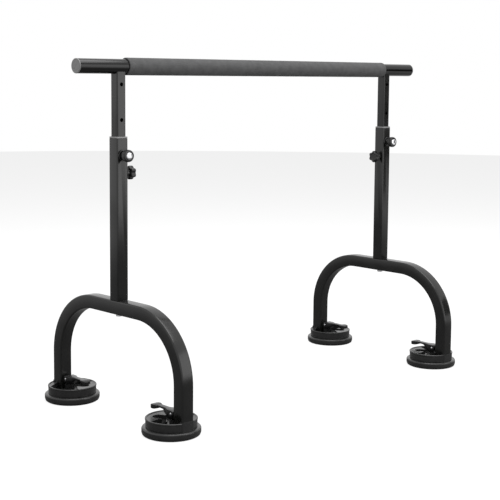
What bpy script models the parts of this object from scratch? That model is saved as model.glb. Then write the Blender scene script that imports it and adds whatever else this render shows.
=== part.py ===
# Portable ballet barre: two arched stands on lever suction cups, telescoping masts and a padded round barre.
# Units are metres. +X runs along the barre, +Z is up, and the floor is z = 0.
import math

import bmesh
import bpy
from mathutils import Matrix, Vector

# Stand and barre
standSpacing = 0.9150          # between the two post axes
archWidth = 0.4790             # outer face to outer face of the legs
archTop = 0.2675
archBendRadius = 0.1400        # at the tube's centre line
legTube = 0.0317
legWall = 0.0016
tubeCorner = 0.0032            # outer corner radius of the square tubes
postTube = 0.0304
postWall = 0.0015
postTop = 0.6322
mastTube = 0.0238
mastWall = 0.0015
mastCorner = 0.0025
mastBottom = 0.3660
barreHeight = 0.7911           # axis of the round barre above the floor
barreRadius = 0.0164
barreWall = 0.0016
barreLeft = -0.5688
barreRight = 0.5630
foamRadius = 0.0196
foamLeft = -0.4379
foamRight = 0.4450
foamRounding = 0.0016
capThickness = 0.0030
capRounding = 0.0012
capPlugLength = 0.0160

# Height setting
pinHeight = 0.5945
holePitch = 0.0785
holeCount = 5
holesBelowPin = 2
holeRadius = 0.0045
collarLip = 0.0036
collarDepth = 0.0300
collarWall = 0.0012
spigotHeight = 0.0137
boltRadius = 0.0040
boltHeadRadius = 0.0075
boltHeadHeight = 0.0053

# Spring pin on the front face of each post, along its own axis from the face outward
pinFlangeRadius = 0.0128
pinFlangeThickness = 0.0035
pinBarrelRadius = 0.0070
pinBarrelLength = 0.0160
pinBarrelFloor = 0.0023
pinRadius = 0.0040
pinStroke = 0.0034
shoulderRadius = 0.0053
shoulderThickness = 0.0015
stemRadius = 0.0025
springWire = 0.0009
springRadius = 0.0041
springTurns = 3
knobRadius = 0.0138
knobStart = 0.0140
knobLength = 0.0108
capDiscRadius = 0.0080
capDome = 0.0018

# Clamp screw on the inner face of each post, along its own axis from the face outward
clampHeight = 0.5540
bossRadius = 0.0095
bossLength = 0.0082
screwRadius = 0.0040
screwLength = 0.0200
padRadius = 0.0052
padTravel = 0.0025
starHub = 0.0080
starHubLength = 0.0030
starLobes = 6
starMean = 0.0142
starSwell = 0.0015
starThickness = 0.0130

# Suction foot
cupOffset = 0.0398             # cup axis from the leg's axis, toward the middle of the arch
cupRadius = 0.0650
cupHeight = 0.0175
cupLip = 0.0610                # outer edge of the ring that meets the floor
cupSealInner = 0.0460
cupDome = 0.0070
coverRadius = 0.0568
coverTop = 0.0370
coverRim = 0.0014              # height of the rim above the ledges
coverRimWidth = 0.0030
coverFloor = 0.0225
coverWall = 0.0048
coverTurn = math.radians(30.0)
ledgeStart = 0.0090
ledgeSlant = 0.60
outerLedge = 0.0405
socketWall = 0.0018            # of the socket that bulges from the cover around the leg
socketRise = 0.0018            # of the socket above the rim
scoopRadius = 0.0130
scoopReach = 0.0300
scoopFloor = 0.0262
pedestalRadius = 0.0120
rodOffset = 0.0110             # pull rod and pedestal from the cup's axis, toward the leg
rodRadius = 0.0045
rodHead = 0.0048
rodHeadWidth = 0.0080
rodFlat = 0.0130
rodPlateRadius = 0.0130
rodPlateThickness = 0.0020
rodPlateBottom = 0.0046
leverPinRadius = 0.0028
leverPinHeight = 0.0480
leverCheek = 0.0074
leverLift = math.radians(80.0)
rodDrop = 0.0040
leverArmTop = 0.0555
leverArmThickness = 0.0044
leverArmWidth = 0.0125
hubFront = 0.0095              # from the lever pin to where the arm starts to taper, and
armStart = 0.0240              # to where it has its own width
paddleStart = 0.0515             # both ends from the lever pin
paddleEnd = 0.0735
paddleWidth = 0.0220
paddleThickness = 0.0098
paddleMiddle = 0.0513           # height of its middle above the floor
paddleDroop = 0.0012
plugHeight = 0.0110
studRadius = 0.0030
studLength = 0.0030

# Fits
gap = 0.0003                   # between pieces that touch
slideGap = 0.0004              # around pieces that slide or turn

innerX = standSpacing / 2
legY = archWidth / 2 - legTube / 2
cupY = legY - cupOffset
ledgeTop = coverTop - coverRim
legBottom = coverFloor + gap

for item in list(bpy.data.objects):
    bpy.data.objects.remove(item, do_unlink=True)

paints = {}


def paint(name, colour, roughness, metallic=0.0):
    if name not in paints:
        material = bpy.data.materials.new(name)
        material.use_nodes = True
        shader = material.node_tree.nodes["Principled BSDF"]
        shader.inputs["Base Color"].default_value = (*colour, 1.0)
        shader.inputs["Roughness"].default_value = roughness
        shader.inputs["Metallic"].default_value = metallic
        paints[name] = material
    return paints[name]


def charcoal():
    return paint("charcoal_coat", (0.035, 0.035, 0.034), 0.45)


def glossBlack():
    return paint("gloss_black", (0.012, 0.012, 0.013), 0.18)


def blackPlastic():
    return paint("black_plastic", (0.020, 0.020, 0.021), 0.40)


def greyPlastic():
    return paint("grey_plastic", (0.30, 0.30, 0.30), 0.50)


def blackRubber():
    return paint("black_rubber", (0.018, 0.018, 0.018), 0.60)


def foamGrey():
    return paint("foam_grey", (0.085, 0.085, 0.088), 0.90)


def steel():
    return paint("steel", (0.55, 0.55, 0.56), 0.30, 1.0)


def chrome():
    return paint("chrome", (0.85, 0.85, 0.87), 0.08, 1.0)


def empty(name, location, turn=(0.0, 0.0, 0.0)):
    holder = bpy.data.objects.new(name, None)
    bpy.context.collection.objects.link(holder)
    holder.location = location
    holder.rotation_euler = turn
    return holder


def addPiece(name, mesh, material, parent=None, location=(0.0, 0.0, 0.0), turn=(0.0, 0.0, 0.0)):
    piece = bpy.data.objects.new(name, mesh)
    bpy.context.collection.objects.link(piece)
    piece.location = location
    piece.rotation_euler = turn
    piece.parent = parent
    if not mesh.materials:
        mesh.materials.append(material)
    return piece


def finishMesh(bm, name, sharp=35.0):
    bmesh.ops.recalc_face_normals(bm, faces=bm.faces)
    mesh = bpy.data.meshes.new(name)
    bm.to_mesh(mesh)
    bm.free()
    mesh.shade_smooth()
    mesh.set_sharp_from_angle(angle=math.radians(sharp))
    return mesh


def arc(cx, cy, radius, start, end, count):
    # Points on an arc in degrees, both ends included
    points = []
    for i in range(count + 1):
        angle = math.radians(start + (end - start) * i / count)
        points.append((cx + radius * math.cos(angle), cy + radius * math.sin(angle)))
    return points


def roundedSquare(size, corner, steps=2):
    half = size / 2 - corner
    points = []
    for cx, cy, start in ((half, half, 0), (-half, half, 90), (-half, -half, 180), (half, -half, 270)):
        points.extend(arc(cx, cy, corner, start, start + 90, steps))
    return points


def circle(radius, count):
    return [(radius * math.cos(2 * math.pi * i / count), radius * math.sin(2 * math.pi * i / count))
            for i in range(count)]


def prism(outline, low, high):
    # Extrudes a flat outline from one height to another
    bm = bmesh.new()
    face = bm.faces.new([bm.verts.new((x, y, low)) for x, y in outline])
    grown = bmesh.ops.extrude_face_region(bm, geom=[face])
    moved = [v for v in grown["geom"] if isinstance(v, bmesh.types.BMVert)]
    bmesh.ops.translate(bm, verts=moved, vec=(0.0, 0.0, high - low))
    bmesh.ops.recalc_face_normals(bm, faces=bm.faces)
    return bm


def turned(profile, count, closed=False):
    # Spins a profile of (radius, height) about Z; an open one starts and ends on the axis
    bm = bmesh.new()
    verts = [bm.verts.new((r, 0.0, z)) for r, z in profile]
    edges = [bm.edges.new((verts[i], verts[i + 1])) for i in range(len(verts) - 1)]
    if closed:
        edges.append(bm.edges.new((verts[-1], verts[0])))
    bmesh.ops.spin(bm, geom=verts + edges, cent=(0, 0, 0), axis=(0, 0, 1), dvec=(0, 0, 0),
                   angle=2 * math.pi, steps=count, use_merge=False)
    bmesh.ops.remove_doubles(bm, verts=bm.verts, dist=0.00001)
    bmesh.ops.recalc_face_normals(bm, faces=bm.faces)
    return bm


def loft(rings, closed=False):
    # Joins rings of points, which all have the same count; a closed loft returns to its first ring
    bm = bmesh.new()
    loops = [[bm.verts.new(point) for point in ring] for ring in rings]
    count = len(loops[0])
    last = len(loops) if closed else len(loops) - 1
    for i in range(last):
        a = loops[i]
        b = loops[(i + 1) % len(loops)]
        for k in range(count):
            bm.faces.new((a[k], a[(k + 1) % count], b[(k + 1) % count], b[k]))
    if not closed:
        bm.faces.new(loops[0])
        bm.faces.new(loops[-1])
    bmesh.ops.recalc_face_normals(bm, faces=bm.faces)
    return bm


def atHeight(outline, z):
    return [(x, y, z) for x, y in outline]


def alongX(outline, x):
    return [(x, a, b) for a, b in outline]


def cutAway(mesh, cutters, operation="DIFFERENCE"):
    # Applies Boolean modifiers and returns the finished mesh
    body = bpy.data.objects.new("body", mesh)
    bpy.context.collection.objects.link(body)
    tools = []
    for bm in cutters:
        toolMesh = bpy.data.meshes.new("cutter")
        bm.to_mesh(toolMesh)
        bm.free()
        tool = bpy.data.objects.new("cutter", toolMesh)
        tool.hide_render = True
        tool.display_type = "WIRE"
        bpy.context.collection.objects.link(tool)
        modifier = body.modifiers.new("cut", "BOOLEAN")
        modifier.operation = operation
        modifier.solver = "EXACT"
        modifier.object = tool
        tools.append(tool)
    graph = bpy.context.evaluated_depsgraph_get()
    cut = bpy.data.meshes.new_from_object(body.evaluated_get(graph))
    cut.name = mesh.name
    for item in [body] + tools:
        bpy.data.objects.remove(item, do_unlink=True)
    cut.shade_smooth()
    cut.set_sharp_from_angle(angle=math.radians(35.0))
    return cut


def cylinderAlong(axis, radius, start, end, centre, count=16):
    # A plain cylinder for holes, along X, Y or Z through a centre
    bm = prism(circle(radius, count), start, end)
    turn = {"X": Matrix.Rotation(math.radians(90), 4, "Y"), "Y": Matrix.Rotation(math.radians(-90), 4, "X"),
            "Z": Matrix.Identity(4)}[axis]
    bmesh.ops.transform(bm, matrix=Matrix.Translation(Vector(centre)) @ turn, verts=bm.verts)
    return bm


def archMesh():
    # A hollow square tube swept up one leg, round both bends and down the other
    path = [(-legY, legBottom, 90.0)]
    bendY = legY - archBendRadius
    bendZ = archTop - legTube / 2 - archBendRadius
    steps = 8
    for i in range(steps + 1):
        angle = 180.0 - 90.0 * i / steps
        path.append((-bendY + archBendRadius * math.cos(math.radians(angle)),
                     bendZ + archBendRadius * math.sin(math.radians(angle)), angle - 90.0))
    for i in range(steps + 1):
        angle = 90.0 - 90.0 * i / steps
        path.append((bendY + archBendRadius * math.cos(math.radians(angle)),
                     bendZ + archBendRadius * math.sin(math.radians(angle)), angle - 90.0))
    path.append((legY, legBottom, -90.0))

    def section(size, corner):
        rings = []
        for y, z, heading in path:
            c = math.cos(math.radians(heading))
            s = math.sin(math.radians(heading))
            rings.append([(a, y - b * s, z + b * c) for a, b in roundedSquare(size, corner)])
        return rings

    outer = section(legTube, tubeCorner)
    inner = section(legTube - 2 * legWall, tubeCorner - legWall)
    mesh = finishMesh(loft(outer + inner[::-1], closed=True), "base_arch")
    hole = cylinderAlong("Z", boltRadius + gap, archTop - legTube - 0.002, archTop + 0.002, (0, 0, 0))
    return cutAway(mesh, [hole])


def squareTubeMesh(name, size, wall, corner, low, high):
    outer = roundedSquare(size, corner)
    inner = roundedSquare(size - 2 * wall, corner - wall)
    rings = [atHeight(outer, low), atHeight(outer, high), atHeight(inner, high), atHeight(inner, low)]
    return finishMesh(loft(rings, closed=True), name)


def postMesh(inward):
    mesh = squareTubeMesh("outer_post", postTube, postWall, tubeCorner, archTop + gap, postTop)
    pinHole = cylinderAlong("Y", pinRadius + gap, -postTube, 0.0, (0, 0, pinHeight))
    start, end = sorted((0.0, inward * postTube))
    padHole = cylinderAlong("X", padRadius + slideGap, start, end, (0, 0, clampHeight))
    return cutAway(mesh, [pinHole, padHole])


def mastMesh():
    mesh = squareTubeMesh("mast", mastTube, mastWall, mastCorner, mastBottom, barreHeight - barreRadius / 3)
    holes = []
    for i in range(holeCount):
        z = pinHeight + (i - holesBelowPin) * holePitch
        holes.append(cylinderAlong("Y", holeRadius, -mastTube, 0.0, (0, 0, z)))
    saddle = cylinderAlong("X", barreRadius + gap, -mastTube, mastTube, (0, 0, barreHeight), 32)
    return cutAway(mesh, holes + [saddle])


def collarMesh():
    bore = roundedSquare(mastTube + 2 * slideGap, mastCorner)
    sleeve = roundedSquare(postTube - 2 * postWall - 2 * gap, tubeCorner - postWall)
    lip = roundedSquare(postTube, tubeCorner)
    lipTop = roundedSquare(postTube - 0.0016, tubeCorner - 0.0008)
    low = postTop - collarDepth
    top = postTop + gap + collarLip
    rings = [atHeight(bore, low), atHeight(sleeve, low), atHeight(sleeve, postTop + gap),
             atHeight(lip, postTop + gap), atHeight(lip, top - 0.0008), atHeight(lipTop, top),
             atHeight(bore, top)]
    return finishMesh(loft(rings, closed=True), "guide_collar")


def spigotMesh():
    size = postTube - 2 * postWall - 2 * gap
    low = archTop + gap
    bm = prism(roundedSquare(size, tubeCorner - postWall), low, low + spigotHeight)
    bore = cylinderAlong("Z", boltRadius + gap, low - 0.002, low + spigotHeight + 0.002, (0, 0, 0))
    return cutAway(finishMesh(bm, "post_spigot"), [bore])


def boltMesh():
    head = archTop - legTube - gap
    shank = archTop + spigotHeight - gap
    bm = loft([atHeight(circle(boltHeadRadius, 6), head - boltHeadHeight),
               atHeight(circle(boltHeadRadius, 6), head)])
    shankBm = prism(circle(boltRadius, 16), head - boltHeadHeight / 2, shank)
    return cutAway(finishMesh(bm, "post_bolt"), [shankBm], "UNION")


def barreMesh():
    outer = circle(barreRadius, 32)
    inner = circle(barreRadius - barreWall, 32)
    rings = [alongX(outer, barreLeft), alongX(outer, barreRight), alongX(inner, barreRight),
             alongX(inner, barreLeft)]
    return finishMesh(loft(rings, closed=True), "barre_tube")


def foamMesh():
    bore = circle(barreRadius + gap, 32)
    shoulder = circle(foamRadius, 32)
    mid = circle(foamRadius - 0.3 * foamRounding, 32)
    end = circle(foamRadius - foamRounding, 32)
    rings = [alongX(end, foamLeft), alongX(mid, foamLeft + 0.3 * foamRounding),
             alongX(shoulder, foamLeft + foamRounding),
             alongX(shoulder, foamRight - foamRounding), alongX(mid, foamRight - 0.3 * foamRounding),
             alongX(end, foamRight), alongX(bore, foamRight), alongX(bore, foamLeft)]
    return finishMesh(loft(rings, closed=True), "foam_sleeve")


def endCapMesh():
    # The head's face is up; the plug goes down into the tube
    plug = barreRadius - barreWall - gap
    profile = [(0.0, capThickness)]
    profile += arc(barreRadius - capRounding, capThickness - capRounding, capRounding, 90, 0, 2)
    profile += [(barreRadius, gap), (plug, gap), (plug, -capPlugLength), (plug - 0.003, -capPlugLength),
                (plug - 0.003, -0.001), (0.0, -0.001)]
    return finishMesh(turned(profile, 32), "end_cap")


def pinBarrelMesh():
    bore = shoulderRadius + slideGap
    front = pinRadius + slideGap
    rear = stemRadius + slideGap
    back = pinBarrelLength - pinBarrelFloor
    profile = [(front, gap), (pinFlangeRadius, gap), (pinFlangeRadius, pinFlangeThickness - 0.0008),
               (pinFlangeRadius - 0.0008, pinFlangeThickness), (pinBarrelRadius, pinFlangeThickness),
               (pinBarrelRadius, pinBarrelLength - 0.0006), (pinBarrelRadius - 0.0006, pinBarrelLength),
               (rear, pinBarrelLength), (rear, back), (bore, back), (bore, pinBarrelFloor + gap),
               (front, pinBarrelFloor + gap)]
    return finishMesh(turned(profile, 16, closed=True), "pin_barrel")


shoulderStart = pinBarrelFloor + gap + pinStroke + slideGap
pinTip = -(postTube - mastTube) / 2 + slideGap
knobFloor = pinBarrelLength + pinStroke + slideGap


def pullPinMesh():
    shoulderEnd = shoulderStart + shoulderThickness
    stemEnd = knobFloor + 0.0020
    profile = [(0.0, pinTip), (pinRadius - 0.0008, pinTip), (pinRadius, pinTip + 0.0008),
               (pinRadius, shoulderStart),
               (shoulderRadius, shoulderStart), (shoulderRadius, shoulderEnd), (stemRadius, shoulderEnd),
               (stemRadius, stemEnd), (0.0, stemEnd)]
    return finishMesh(turned(profile, 16), "pull_pin")


def pullKnobMesh():
    # Fluted outside, hollow skirt over the barrel, shallow seat for the cap disc in front
    front = knobStart + knobLength
    skirt = pinBarrelRadius + slideGap
    stem = stemRadius + gap
    seat = capDiscRadius + gap
    seatFloor = front - 0.0015
    profile = [(0.0, knobFloor + 0.0025), (stem, knobFloor + 0.0025), (stem, knobFloor), (skirt, knobFloor),
               (skirt, knobStart), (knobRadius - 0.0010, knobStart), (knobRadius, knobStart + 0.0010),
               (knobRadius, front - 0.0018), (knobRadius - 0.0006, front - 0.0006),
               (knobRadius - 0.0018, front),
               (seat, front), (seat, seatFloor), (0.0, seatFloor)]
    return finishMesh(turned(profile, 20), "pull_knob")


def knobCapMesh():
    front = knobStart + knobLength
    base = front - 0.0015 + gap
    edge = front
    profile = [(0.0, base), (capDiscRadius, base), (capDiscRadius, edge)]
    for i in range(1, 4):
        t = i / 4
        profile.append((capDiscRadius * math.cos(t * math.pi / 2),
                        edge + capDome * math.sin(t * math.pi / 2)))
    profile.append((0.0, edge + capDome))
    return finishMesh(turned(profile, 24), "knob_cap", 50.0)


def springPoints():
    # One straight lead, the turns, and a straight end, from the shoulder to the barrel's rear wall
    start = shoulderStart + shoulderThickness + gap + springWire / 2
    end = pinBarrelLength - pinBarrelFloor - gap - springWire / 2
    perTurn = 8
    total = springTurns * perTurn
    points = []
    for i in range(total + 1):
        angle = 2 * math.pi * i / perTurn
        points.append(Vector((springRadius * math.cos(angle), springRadius * math.sin(angle),
                              start + (end - start) * i / total)))
    lead = (points[0] - points[1]).normalized() * springWire
    tail = (points[-1] - points[-2]).normalized() * springWire
    return [points[0] + lead] + points + [points[-1] + tail]


def leastSelfGap(points, wire, skip):
    least = 1.0
    for i in range(len(points)):
        for j in range(i + skip, len(points)):
            least = min(least, (points[i] - points[j]).length - wire)
    return least


def springCurve():
    points = springPoints()
    print("spring least self gap mm:", round(1000 * leastSelfGap(points, springWire, 5), 3))
    curve = bpy.data.curves.new("pin_spring", "CURVE")
    curve.dimensions = "3D"
    curve.bevel_depth = springWire / 2
    curve.bevel_resolution = 1
    curve.use_fill_caps = True
    spline = curve.splines.new("POLY")
    spline.points.add(len(points) - 1)
    for point, target in zip(spline.points, points):
        point.co = (*target, 1.0)
    return curve


def clampBossMesh():
    seat = padRadius + slideGap
    bore = screwRadius + slideGap
    counter = padTravel + 0.0006
    profile = [(seat, gap), (bossRadius, gap), (bossRadius, bossLength - 0.0007),
               (bossRadius - 0.0007, bossLength),
               (bore, bossLength), (bore, counter), (seat, counter)]
    return finishMesh(turned(profile, 20, closed=True), "clamp_boss")


def padMesh():
    low = -(postTube - mastTube) / 2 + gap
    high = -0.0001
    profile = [(0.0, low), (padRadius - 0.0004, low), (padRadius, low + 0.0004), (padRadius, high),
               (0.0, high)]
    return finishMesh(turned(profile, 20), "pressure_pad")


def clampScrewMesh():
    start = 0.0002
    profile = [(0.0, start), (screwRadius - 0.0006, start), (screwRadius, start + 0.0006),
               (screwRadius, screwLength),
               (0.0, screwLength)]
    return finishMesh(turned(profile, 20), "clamp_screw")


starStart = bossLength + slideGap + starHubLength


def starKnobMesh():
    def outline(shrink):
        points = []
        count = starLobes * 5
        for i in range(count):
            angle = 2 * math.pi * i / count
            r = starMean + starSwell * math.cos(starLobes * angle) - shrink
            points.append((r * math.cos(angle), r * math.sin(angle)))
        return points

    edge = 0.0016
    top = starStart + starThickness
    rings = [atHeight(outline(edge), starStart), atHeight(outline(0.0), starStart + edge),
             atHeight(outline(0.0), top - edge), atHeight(outline(edge), top),
             atHeight(outline(0.0045), top), atHeight(outline(0.0055), top - 0.0010)]
    star = finishMesh(loft(rings), "star_knob")
    hub = prism(circle(starHub, 20), starStart - starHubLength, starStart + 0.002)
    knob = cutAway(star, [hub], "UNION")
    bore = prism(circle(screwRadius + gap, 20), starStart - starHubLength - 0.001, screwLength + gap)
    return cutAway(knob, [bore])


def cupMesh():
    # A thick rubber disc with a rounded lip, a flat sealing ring and a shallow dome under the middle
    profile = [(0.0, cupDome), (0.0, cupHeight), (cupRadius - 0.0065, cupHeight)]
    profile += arc(cupRadius - 0.0055, cupHeight - 0.0055, 0.0055, 75, 0, 2)
    profile += [(cupRadius, 0.0060), (cupRadius - 0.0018, 0.0014), (cupLip, 0.0), (cupSealInner, 0.0)]
    # The middle is flat out to just past the rod's plate, wherever the rod stands
    flat = rodOffset + rodPlateRadius + 0.001
    for i in range(1, 5):
        t = i / 4
        r = cupSealInner + (flat - cupSealInner) * t
        profile.append((r, cupDome * math.sin(t * math.pi / 2)))
    profile.append((0.0, cupDome))
    cup = finishMesh(turned(profile, 28), "suction_cup")
    bore = prism([(x, y - rodOffset) for x, y in circle(rodRadius + slideGap, 16)], cupDome - 0.001,
                 cupHeight + 0.001)
    return cutAway(cup, [bore])


def turnPoint(along, across):
    # From the cover's own axes to the foot's: along points to the scoop, across to its right
    c = math.cos(coverTurn)
    s = math.sin(coverTurn)
    return (across * c - along * s, across * s + along * c)


def recessOutline():
    r = coverRadius - coverWall
    k = 1 + ledgeSlant ** 2
    offset = ledgeStart * ledgeSlant
    across = (math.sqrt(offset ** 2 + k * (r ** 2 - ledgeStart ** 2)) - offset) / k
    along = ledgeStart + ledgeSlant * across
    first = math.degrees(math.atan2(across, along))
    last = math.degrees(math.acos(-outerLedge / r))
    right = [(a, b) for a, b in arc(0, 0, r, first, last, 7)]
    left = [(a, -b) for a, b in reversed(right)]
    return [turnPoint(a, b) for a, b in right + left + [(ledgeStart, 0.0)]]


def coverMesh():
    outer = coverRadius
    top = coverTop
    low = cupHeight + gap
    profile = [(0.0, low), (outer - 0.0006, low), (outer, top - 0.0040), (outer + 0.0007, top - 0.0030),
               (outer + 0.0007, top - 0.0010), (outer, top), (outer - coverRimWidth, top),
               (outer - coverRimWidth - 0.0008, ledgeTop), (0.0, ledgeTop)]
    drum = finishMesh(turned(profile, 28), "cup_cover")
    # The socket bulges from the wall where the leg's outer corners meet it
    bulge = roundedSquare(legTube + 2 * socketWall, tubeCorner + socketWall)
    body = cutAway(drum, [prism([(x, y - cupOffset) for x, y in bulge], low, top + socketRise)], "UNION")
    recess = finishMesh(prism(recessOutline(), coverFloor, top + 0.004), "recess")
    pedestal = prism([(x, y - rodOffset) for x, y in circle(pedestalRadius, 20)], coverFloor - 0.004,
                     top + 0.010)
    recess = cutAway(recess, [pedestal])
    recessBm = bmesh.new()
    recessBm.from_mesh(recess)
    scoopLine = arc(scoopReach, 0.0, scoopRadius, 90, -90, 6) + [(ledgeStart - 0.001, -scoopRadius),
                                                                 (ledgeStart - 0.001, scoopRadius)]
    scoop = prism([turnPoint(a, b) for a, b in scoopLine], scoopFloor, top + 0.004)
    socket = prism([(x, y - cupOffset) for x, y in roundedSquare(legTube + 2 * gap, tubeCorner)], coverFloor,
                   top + 0.004)
    bore = prism([(x, y - rodOffset) for x, y in circle(rodRadius + slideGap, 16)], low - 0.002, top + 0.004)
    studHole = cylinderAlong("Z", studRadius + gap, legBottom - studLength - gap, coverFloor + 0.002,
                             (0, -cupOffset, 0))
    return cutAway(body, [recessBm, scoop, socket, bore, studHole])


def plugMesh():
    size = legTube - 2 * legWall - 2 * gap
    profile = prism(roundedSquare(size, tubeCorner - legWall), legBottom, legBottom + plugHeight)
    stud = prism(circle(studRadius, 12), legBottom - studLength, legBottom + 0.002)
    return cutAway(finishMesh(profile, "leg_plug"), [stud], "UNION")


def rodMesh():
    low = rodPlateBottom
    shank = turned([(0.0, low), (rodPlateRadius - 0.0005, low), (rodPlateRadius, low + 0.0005),
                    (rodPlateRadius, low + rodPlateThickness), (rodRadius, low + rodPlateThickness),
                    (rodRadius, leverPinHeight), (0.0, leverPinHeight)], 16)
    half = rodHeadWidth / 2
    head = cylinderAlong("X", rodHead, -half, half, (0, 0, leverPinHeight))
    rod = cutAway(finishMesh(shank, "pull_rod"), [head], "UNION")
    cuts = [cylinderAlong("X", leverPinRadius + gap, -rodHeadWidth, rodHeadWidth, (0, 0, leverPinHeight))]
    # Flats on both sides of the shank, so that it stands between the lever's cheeks
    for sign in (-1.0, 1.0):
        near, far = sorted((sign * half, sign * (half + 0.004)))
        line = [(near, -0.010), (far, -0.010), (far, 0.010), (near, 0.010)]
        cuts.append(prism(line, leverPinHeight - rodFlat, leverPinHeight + 0.010))
    return cutAway(rod, cuts)


cheekInner = rodHeadWidth / 2 + slideGap
cheekOuter = cheekInner + leverCheek


def leverPinMesh():
    length = 2 * cheekOuter + 0.0024
    profile = [(0.0, -length / 2), (leverPinRadius - 0.0005, -length / 2),
               (leverPinRadius, 0.0005 - length / 2),
               (leverPinRadius, length / 2 - 0.0005), (leverPinRadius - 0.0005, length / 2),
               (0.0, length / 2)]
    return finishMesh(turned(profile, 16), "lever_pin")


def camPoints():
    # The cam's support height above the pedestal falls evenly as the lever lifts, by the rod's drop
    rate = rodDrop / leverLift
    points = []
    for i in range(8):
        angle = leverLift * i / 7
        height = leverPinHeight - ledgeTop - gap - rate * angle
        points.append((-height * math.sin(angle) + rate * math.cos(angle),
                       -height * math.cos(angle) - rate * math.sin(angle)))
    return points


def leverMesh():
    # Side outline about the pin, inward positive; the cam is below and behind, the web rises to the arm
    armTop = leverArmTop - leverPinHeight
    armLow = armTop - leverArmThickness
    armEnd = paddleStart + 0.004
    side = camPoints()
    back = side[-1]
    side += [(back[0] - 0.0004, back[1] + 0.0030), (back[0], 0.0028), (back[0] + 0.0020, 0.0056),
             (-0.0022, armTop),
             (armEnd, armTop + 0.0003), (armEnd, armLow + 0.0006), (0.0340, armLow), (0.0175, -0.0070),
             (0.0125, -0.0106), (0.0070, -0.0120)]
    half = cheekOuter
    hub = loft([alongX(side, -half), alongX(side, half)])
    hubMesh = finishMesh(hub, "cup_lever")
    # The arm is narrower than the hub: both flanks taper away in front of the hub
    flanks = []
    for sign in (-1.0, 1.0):
        near = sign * leverArmWidth / 2
        far = sign * (cheekOuter + 0.001)
        flanks.append(prism([(far, hubFront), (near, armStart), (near, armEnd + 0.002),
                             (far, armEnd + 0.002)],
                            -0.030, 0.030))
    eyeRoom = rodHead + slideGap + gap
    shankRoom = rodRadius + slideGap
    turnStart = -math.degrees(math.acos(shankRoom / eyeRoom))
    slotLine = [(-0.030, -0.030), (shankRoom, -0.030)]
    slotLine += arc(0.0, 0.0, eyeRoom, turnStart, 90, 7) + [(-0.030, eyeRoom)]
    slot = loft([alongX(slotLine, -cheekInner), alongX(slotLine, cheekInner)])
    pinHole = cylinderAlong("X", leverPinRadius + gap, -0.020, 0.020, (0, 0, 0))
    lever = cutAway(hubMesh, flanks + [slot, pinHole])
    rings = []
    for t, grow in ((0.0, 0.62), (0.12, 0.88), (0.32, 1.0), (0.66, 1.0), (0.88, 0.84), (1.0, 0.52)):
        y = paddleStart + (paddleEnd - paddleStart) * t
        drop = paddleMiddle - leverPinHeight + paddleDroop * (0.5 - t)
        w = paddleWidth / 2 * grow
        h = paddleThickness / 2 * grow
        rings.append([(w * a, y, drop + h * b) for a, b in
                      [(math.copysign(abs(math.cos(q)) ** 0.6, math.cos(q)),
                        math.copysign(abs(math.sin(q)) ** 0.6, math.sin(q)))
                       for q in [2 * math.pi * (i + 0.5) / 12 for i in range(12)]]])
    return cutAway(lever, [loft(rings)], "UNION")


def buildFoot(label, x, y, turn, shared):
    foot = empty("foot_" + label, (x, y, 0.0), (0.0, 0.0, turn))
    addPiece("suction_cup_" + label, shared["cup"], blackRubber(), foot)
    addPiece("cup_cover_" + label, shared["cover"], blackPlastic(), foot)
    addPiece("leg_plug_" + label, shared["plug"], blackPlastic(), foot, (0.0, -cupOffset, 0.0))
    addPiece("pull_rod_" + label, shared["rod"], steel(), foot, (0.0, -rodOffset, 0.0))
    pivot = empty("lever_pivot_" + label, (0.0, -rodOffset, leverPinHeight))
    pivot.parent = foot
    addPiece("cup_lever_" + label, shared["lever"], blackPlastic(), pivot)
    addPiece("lever_pin_" + label, shared["leverPin"], steel(), pivot, (0.0, 0.0, 0.0),
             (0.0, math.radians(90.0), 0.0))


def buildSide(side, sign, shared):
    stand = empty("stand_" + side, (sign * innerX, 0.0, 0.0))
    addPiece("base_arch_" + side, shared["arch"], charcoal(), stand)
    addPiece("outer_post_" + side, postMesh(-sign), charcoal(), stand)
    addPiece("guide_collar_" + side, shared["collar"], greyPlastic(), stand)
    addPiece("post_spigot_" + side, shared["spigot"], steel(), stand)
    addPiece("post_bolt_" + side, shared["bolt"], steel(), stand)
    addPiece("mast_" + side, shared["mast"], charcoal(), stand)
    pinSeat = empty("pin_seat_" + side, (0.0, -postTube / 2, pinHeight), (math.radians(90.0), 0.0, 0.0))
    pinSeat.parent = stand
    addPiece("pin_barrel_" + side, shared["barrel"], blackPlastic(), pinSeat)
    addPiece("pull_pin_" + side, shared["pin"], steel(), pinSeat)
    spring = bpy.data.objects.new("pin_spring_" + side, shared["spring"])
    bpy.context.collection.objects.link(spring)
    spring.parent = pinSeat
    addPiece("pull_knob_" + side, shared["knob"], blackPlastic(), pinSeat)
    addPiece("knob_cap_" + side, shared["knobCap"], chrome(), pinSeat)
    clampSeat = empty("clamp_seat_" + side, (-sign * postTube / 2, 0.0, clampHeight),
                      (0.0, -sign * math.radians(90.0), 0.0))
    clampSeat.parent = stand
    addPiece("clamp_boss_" + side, shared["boss"], charcoal(), clampSeat)
    addPiece("pressure_pad_" + side, shared["pad"], greyPlastic(), clampSeat)
    addPiece("clamp_screw_" + side, shared["screw"], steel(), clampSeat)
    addPiece("star_knob_" + side, shared["star"], blackPlastic(), clampSeat)
    buildFoot(side + "_front", sign * innerX, -cupY, 0.0, shared)
    buildFoot(side + "_back", sign * innerX, cupY, math.pi, shared)


def buildBarre():
    rail = empty("barre_axis", (0.0, 0.0, barreHeight))
    addPiece("barre_tube", barreMesh(), glossBlack(), rail)
    addPiece("foam_sleeve", foamMesh(), foamGrey(), rail)
    cap = endCapMesh()
    addPiece("end_cap_right", cap, greyPlastic(), rail, (barreRight, 0.0, 0.0),
             (0.0, math.radians(90.0), 0.0))
    addPiece("end_cap_left", cap, greyPlastic(), rail, (barreLeft, 0.0, 0.0), (0.0, math.radians(-90.0), 0.0))


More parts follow.
